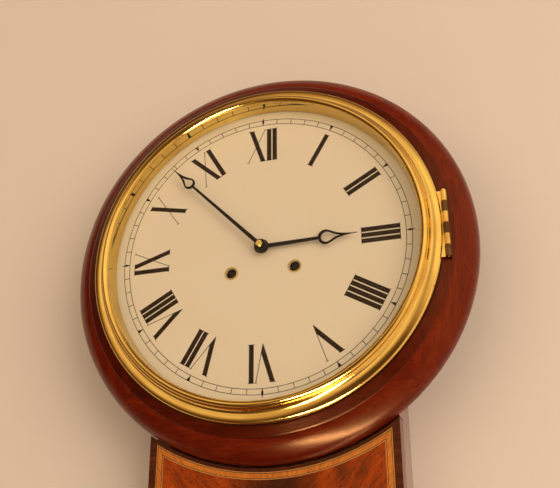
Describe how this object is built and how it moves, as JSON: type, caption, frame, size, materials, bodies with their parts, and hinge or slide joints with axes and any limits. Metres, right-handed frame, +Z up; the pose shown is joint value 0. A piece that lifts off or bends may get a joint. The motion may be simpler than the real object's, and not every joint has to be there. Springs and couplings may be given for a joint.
{
  "type": "round-dial wall clock",
  "caption": "Round-dial wall clock: brass bezel on hinges, turned wood surround, inlaid straight trunk and pendulum box, spring movement with striking work.",
  "frame": {"origin": "middle of the hanging hole, on the plane of the wall", "axes": "+Z up, +Y into the wall, +X to the right of someone who faces the dial"},
  "size_m": [0.3936, 0.0995, 0.8648],
  "materials": {
    "mahogany": "French polished, dark red-brown",
    "mahogany_veneer": "French polished flame veneer",
    "satinwood": "polished crossbanded inlay",
    "deal": "plain planed softwood",
    "brass": "polished and lacquered",
    "aged_brass": "satin",
    "dial_enamel": "cream enamel, satin",
    "blued_steel": "blued, nearly black",
    "steel": "polished",
    "clear_glass": "clear"
  },
  "bodies": {
    "case": {"backboard": "deal", "hanging_plate": "aged_brass", "hanging_plate_screws": "steel", "trunk_left_side": "mahogany", "trunk_right_side": "mahogany", "head_top": "deal", "dial_surround": "mahogany", "case_hinge_leaves": "aged_brass", "hinge_pins": "aged_brass", "box_sides": "mahogany", "box_cornice": "mahogany", "box_plinth": "mahogany", "dial_plate": "dial_enamel", "winding_grommets": "brass", "pillars_and_dial_feet": "aged_brass", "small_screws": "steel", "surround_hinge_leaf": "aged_brass", "front_plate": "aged_brass", "back_plate": "aged_brass", "suspension_cock": "aged_brass", "bell": "brass", "bell_stand": "steel"},
    "bezel": {"bezel_ring": "brass", "bezel_glass": "clear_glass", "bezel_hinge_leaf": "brass", "bezel_hinge_pin": "brass"},
    "trunk_door": {"trunk_door": "mahogany_veneer", "trunk_inlay": "satinwood", "trunk_door_leaves": "aged_brass"},
    "trunk_latch": {"trunk_latch": "brass"},
    "box_door": {"box_door_frame": "mahogany_veneer", "box_glass": "clear_glass", "box_door_leaves": "aged_brass"},
    "box_latch": {"box_latch": "brass"},
    "minute_hand": {"centre_arbor": "aged_brass", "cannon_pinion": "steel", "minute_hand": "blued_steel", "hand_nut": "brass"},
    "hour_hand": {"hour_wheel": "aged_brass", "strike_snail": "aged_brass", "hour_hand": "blued_steel"},
    "minute_wheel": {"minute_wheel": "aged_brass"},
    "going_barrel": {"going_barrel": "aged_brass", "going_mainspring": "steel"},
    "going_winder": {"going_winder": "steel"},
    "second_wheel": {"second_wheel": "aged_brass"},
    "third_wheel": {"third_wheel": "aged_brass"},
    "escape_wheel": {"escape_wheel": "aged_brass"},
    "anchor": {"anchor": "steel"},
    "pendulum": {"pendulum_rod": "steel", "suspension_spring": "steel", "pendulum_bob": "brass", "rating_nut": "brass"},
    "strike_barrel": {"strike_barrel": "aged_brass", "strike_mainspring": "steel"},
    "strike_winder": {"strike_winder": "steel"},
    "pin_wheel": {"pin_wheel": "aged_brass"},
    "locking_wheel": {"locking_wheel": "aged_brass"},
    "fly": {"fly": "aged_brass"},
    "hammer": {"hammer": "steel"}
  },
  "joints": [
    {"name": "bezel_open", "type": "hinge", "parent": "case", "child": "bezel", "pos_m": [0.1708, -0.0875, -0.15], "axis": [0, 0, 1], "range_deg": [0, 125]},
    {"name": "trunk_door_open", "type": "hinge", "parent": "case", "child": "trunk_door", "pos_m": [0.117, -0.0378, -0.5], "axis": [0, 0, 1], "range_deg": [0, 100]},
    {"name": "trunk_latch_turn", "type": "hinge", "parent": "trunk_door", "child": "trunk_latch", "pos_m": [-0.088, -0.0445, -0.488], "axis": [0, 1, 0], "range_deg": [0, 90]},
    {"name": "box_door_open", "type": "hinge", "parent": "case", "child": "box_door", "pos_m": [0.1627, -0.0493, -0.725], "axis": [0, 0, 1], "range_deg": [0, 100]},
    {"name": "box_latch_turn", "type": "hinge", "parent": "box_door", "child": "box_latch", "pos_m": [-0.138, -0.0595, -0.726], "axis": [0, 1, 0], "range_deg": [0, 90]},
    {"name": "minute_hand_turn", "type": "hinge", "parent": "case", "child": "minute_hand", "pos_m": [0, -0.0495, -0.15], "axis": [0, 1, 0], "continuous": true},
    {"name": "hour_hand_turn", "type": "hinge", "parent": "case", "child": "hour_hand", "pos_m": [0, -0.0495, -0.15], "axis": [0, 1, 0], "continuous": true},
    {"name": "minute_wheel_turn", "type": "hinge", "parent": "case", "child": "minute_wheel", "pos_m": [0, -0.0495, -0.132], "axis": [0, 1, 0], "continuous": true},
    {"name": "going_barrel_turn", "type": "hinge", "parent": "case", "child": "going_barrel", "pos_m": [0.0305, -0.0495, -0.172], "axis": [0, 1, 0], "continuous": true},
    {"name": "second_wheel_turn", "type": "hinge", "parent": "case", "child": "second_wheel", "pos_m": [0.00177, -0.0495, -0.17394], "axis": [0, 1, 0], "continuous": true},
    {"name": "third_wheel_turn", "type": "hinge", "parent": "case", "child": "third_wheel", "pos_m": [0.01027, -0.0495, -0.13054], "axis": [0, 1, 0], "continuous": true},
    {"name": "escape_wheel_turn", "type": "hinge", "parent": "case", "child": "escape_wheel", "pos_m": [0, -0.0495, -0.117], "axis": [0, 1, 0], "continuous": true},
    {"name": "going_wind", "type": "hinge", "parent": "case", "child": "going_winder", "pos_m": [0.0305, -0.0495, -0.172], "axis": [0, 1, 0], "continuous": true},
    {"name": "strike_wind", "type": "hinge", "parent": "case", "child": "strike_winder", "pos_m": [-0.0305, -0.0495, -0.172], "axis": [0, 1, 0], "continuous": true},
    {"name": "strike_barrel_turn", "type": "hinge", "parent": "case", "child": "strike_barrel", "pos_m": [-0.0305, -0.0495, -0.172], "axis": [0, 1, 0], "continuous": true},
    {"name": "pin_wheel_turn", "type": "hinge", "parent": "case", "child": "pin_wheel", "pos_m": [-0.03795, -0.0495, -0.14418], "axis": [0, 1, 0], "continuous": true},
    {"name": "locking_wheel_turn", "type": "hinge", "parent": "case", "child": "locking_wheel", "pos_m": [-0.03297, -0.0495, -0.12559], "axis": [0, 1, 0], "continuous": true},
    {"name": "fly_turn", "type": "hinge", "parent": "case", "child": "fly", "pos_m": [-0.03543, -0.0495, -0.11163], "axis": [0, 1, 0], "continuous": true},
    {"name": "pendulum_swing", "type": "hinge", "parent": "case", "child": "pendulum", "pos_m": [0, -0.0185, -0.0958], "axis": [0, 1, 0], "range_deg": [-3.5, 3.5]},
    {"name": "anchor_rock", "type": "hinge", "parent": "case", "child": "anchor", "pos_m": [0, -0.0425, -0.0958], "axis": [0, 1, 0], "range_deg": [-3.6, 3.6]},
    {"name": "hammer_lift", "type": "hinge", "parent": "case", "child": "hammer", "pos_m": [-0.056, -0.0345, -0.132], "axis": [0, 1, 0], "range_deg": [-14, 0], "stiffness_Nm_per_rad": 0.01}
  ],
  "couplings": [
    {"joint": "hour_hand_turn", "follows": "minute_hand_turn", "ratio": 0.083333},
    {"joint": "minute_wheel_turn", "follows": "minute_hand_turn", "ratio": -0.5},
    {"joint": "second_wheel_turn", "follows": "minute_hand_turn", "ratio": -0.11111},
    {"joint": "going_barrel_turn", "follows": "minute_hand_turn", "ratio": 0.015873},
    {"joint": "third_wheel_turn", "follows": "minute_hand_turn", "ratio": -10},
    {"joint": "escape_wheel_turn", "follows": "minute_hand_turn", "ratio": 75},
    {"joint": "pin_wheel_turn", "follows": "strike_barrel_turn", "ratio": -7},
    {"joint": "locking_wheel_turn", "follows": "strike_barrel_turn", "ratio": 70},
    {"joint": "fly_turn", "follows": "strike_barrel_turn", "ratio": -560},
    {"joint": "anchor_rock", "follows": "pendulum_swing", "ratio": 1}
  ]
}
